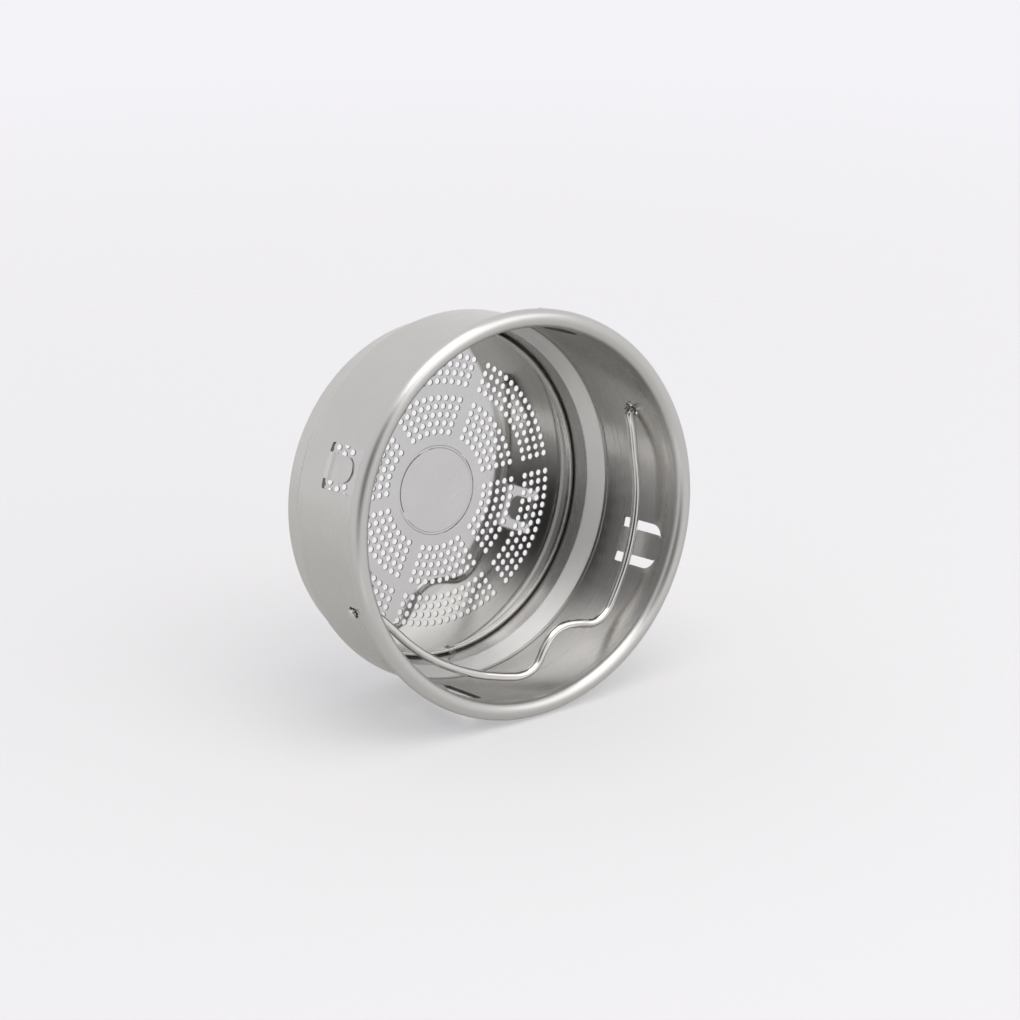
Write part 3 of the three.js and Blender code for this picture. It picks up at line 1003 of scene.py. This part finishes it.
class STRAINER_OT_leaves(bpy.types.Operator):
    """Builds the four spring leaves that stand out through the cup's windows"""

    bl_idname = "strainer.leaves"
    bl_label = "Spring leaves"

    def execute(self, context):
        s = sizes("springs")
        sheet = sizes("cup")["sheet"]
        paint = steel("Spring steel", finish_colours()["spring"], 0.33)
        for number, angle in enumerate(TAB_ANGLES, 1):
            mesh = leaf_mesh(s, angle)
            mesh.materials.append(paint)
            blank = add_object("leaf blank", mesh)
            thick = blank.modifiers.new("Sheet", "SOLIDIFY")
            thick.thickness = sheet
            thick.offset = 0
            edge = blank.modifiers.new("Edges", "BEVEL")
            edge.width = 0.045
            edge.segments = 2
            edge.limit_method = "ANGLE"
            edge.angle_limit = math.radians(60)
            piece = place(f"spring_leaf_{number}", edit(settle(blank)), None, "spring_steel",
                          [f"spring_tab_{number}"], 40)
            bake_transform(piece)
        return {"FINISHED"}


# ---- Stage ----

# The object lies on its rolled rim. These are the directions of the view on it and the way
# up from the floor, in the frame of the object.
RIGHT = Vector((0.73134, -0.34936, 0.58574))
UP = Vector((0.53248, 0.82913, -0.17030))
BACK = Vector((-0.42616, 0.43644, 0.79240))
SKY = Vector((0.3434, 0.9307, 0.1264)).normalized()
CAMERA_PLACE = Vector((-0.186577, 0.191356, 0.363990))
FOCAL_LENGTH = 123.53
RIM_RADIUS = 26 * MM
FLOOR_REACH = 0.6


def softbox(name, way, distance, width, power, tint=(1, 1, 1)):
    light = bpy.data.lights.new(name, "AREA")
    light.shape = "SQUARE"
    light.size = width
    light.energy = power
    light.color = tint
    obj = add_object(name, light)
    way = way.normalized()
    obj.location = way * distance
    obj.rotation_mode = "QUATERNION"
    obj.rotation_quaternion = (-way).to_track_quat("-Z", "Y")


class STRAINER_OT_stage(bpy.types.Operator):
    """Sets up the camera, the floor, the soft light and the pale surroundings"""

    bl_idname = "strainer.stage"
    bl_label = "Stage"

    def execute(self, context):
        scene = context.scene
        tints = finish_colours()
        camera = bpy.data.cameras.new("Camera")
        camera.lens = FOCAL_LENGTH
        camera.sensor_width = 36
        camera.clip_start = 0.01
        view = add_object("Camera", camera)
        view.matrix_world = Matrix.Translation(CAMERA_PLACE) @ Matrix(
            (RIGHT, UP, BACK)).transposed().to_4x4()
        scene.camera = view

        # floor: tangent to the rim below the object, fading out well away from it
        rim_z = CUP_HIGH.z - sizes("cup")["bead"] * MM / 2
        low = min(Vector((x, y, rim_z)).dot(SKY) for x, y in arc((0, 0), RIM_RADIUS, 0, 360, 720))
        side = SKY.orthogonal().normalized()
        other = SKY.cross(side)
        foot = SKY * (low - 0.1 * MM)
        floor_mesh = new_mesh("floor", [foot + (side * a + other * b) * FLOOR_REACH for a, b in (
            (-1, -1), (1, -1), (1, 1), (-1, 1))], [(0, 1, 2, 3)])
        if floor_mesh.polygons[0].normal.dot(SKY) < 0:
            floor_mesh.flip_normals()
        floor = add_object("floor", floor_mesh)
        paint = bpy.data.materials.new("Floor card")
        paint.use_nodes = True
        paint.node_tree.nodes.clear()
        graph = Graph(paint.node_tree)
        spot = graph.add("ShaderNodeTexCoord").outputs["Object"]
        fibre = graph.noise(spot, 900.0, 4.0, 0.6)
        pale = tuple(tints["floor"]) + (1,)
        dim = tuple(v * 0.975 for v in tints["floor"]) + (1,)
        card = graph.out("ShaderNodeBsdfDiffuse", {"Color": graph.mix(fibre, dim, pale)})
        clear = graph.out("ShaderNodeBsdfTransparent")
        away = graph.vector("LENGTH", graph.vector("SUBTRACT", spot, tuple(foot)))
        fade = graph.scale(away, 0.02, 0.32, 0.4, 1.0)
        behind = graph.add("ShaderNodeNewGeometry").outputs["Backfacing"]
        gone = graph.math("MAXIMUM", fade, behind)
        both = graph.out("ShaderNodeMixShader", {0: gone, 1: card, 2: clear})
        graph.add("ShaderNodeOutputMaterial", {"Surface": both})
        floor_mesh.materials.append(paint)

        world = bpy.data.worlds.new("Surroundings")
        scene.world = world
        world.use_nodes = True
        world.node_tree.nodes.clear()
        graph = Graph(world.node_tree)
        way = graph.add("ShaderNodeTexCoord").outputs["Generated"]
        facing = graph.vector("DOT_PRODUCT", way, tuple(BACK.normalized()))
        around = graph.mix(graph.scale(facing, 0.84, 0.975), (0.92, 0.91, 0.93, 1),
                           (0.05, 0.05, 0.05, 1))
        above = graph.vector("DOT_PRODUCT", way, tuple(SKY))
        around = graph.mix(graph.scale(above, -0.1, -0.5), around, (0.60, 0.595, 0.58, 1))
        seen = graph.add("ShaderNodeLightPath").outputs["Is Camera Ray"]
        air = graph.mix(seen, around, tuple(tints["air"]) + (1,))
        back = graph.out("ShaderNodeBackground", {"Color": air, "Strength": 1.0})
        graph.add("ShaderNodeOutputWorld", {"Surface": back})

        softbox("Key", Vector((0.25, 0.85, 0.46)), 0.6, 0.42, 0.98, (1.0, 0.985, 0.97))
        softbox("Window", Vector((0.50, 0.36, 0.79)), 0.5, 0.42, 0.5)
        softbox("Lamp", Vector((-0.58, -0.20, 0.79)), 0.5, 0.09, 0.06)
        scene.view_settings.view_transform = "Standard"
        return {"FINISHED"}


class STRAINER_PT_panel(bpy.types.Panel):
    bl_label = "Basket strainer"
    bl_space_type = "VIEW_3D"
    bl_region_type = "UI"
    bl_category = "Strainer"

    def draw(self, context):
        for group in GROUPS:
            found = getattr(context.scene, "strainer_" + group)
            for key in found.__annotations__:
                self.layout.prop(found, key)
        for kind in OPERATORS:
            self.layout.operator(kind.bl_idname)


GROUPS = {"cup": CupSizes, "disc": DiscSizes, "springs": SpringSizes, "finishes": Finishes}
OPERATORS = (STRAINER_OT_cup, STRAINER_OT_disc, STRAINER_OT_clamp_ring, STRAINER_OT_bail,
             STRAINER_OT_leaves, STRAINER_OT_stage)


def register():
    for kind in (*GROUPS.values(), *OPERATORS, STRAINER_PT_panel):
        bpy.utils.register_class(kind)
    for group, kind in GROUPS.items():
        setattr(bpy.types.Scene, "strainer_" + group, bpy.props.PointerProperty(type=kind))


def unregister():
    for group in GROUPS:
        delattr(bpy.types.Scene, "strainer_" + group)
    for kind in (STRAINER_PT_panel, *reversed(OPERATORS), *reversed(GROUPS.values())):
        bpy.utils.unregister_class(kind)


def main():
    register()
    for kind in OPERATORS:
        family, action = kind.bl_idname.split(".")
        getattr(getattr(bpy.ops, family), action)()


if __name__ == "__main__":
    main()
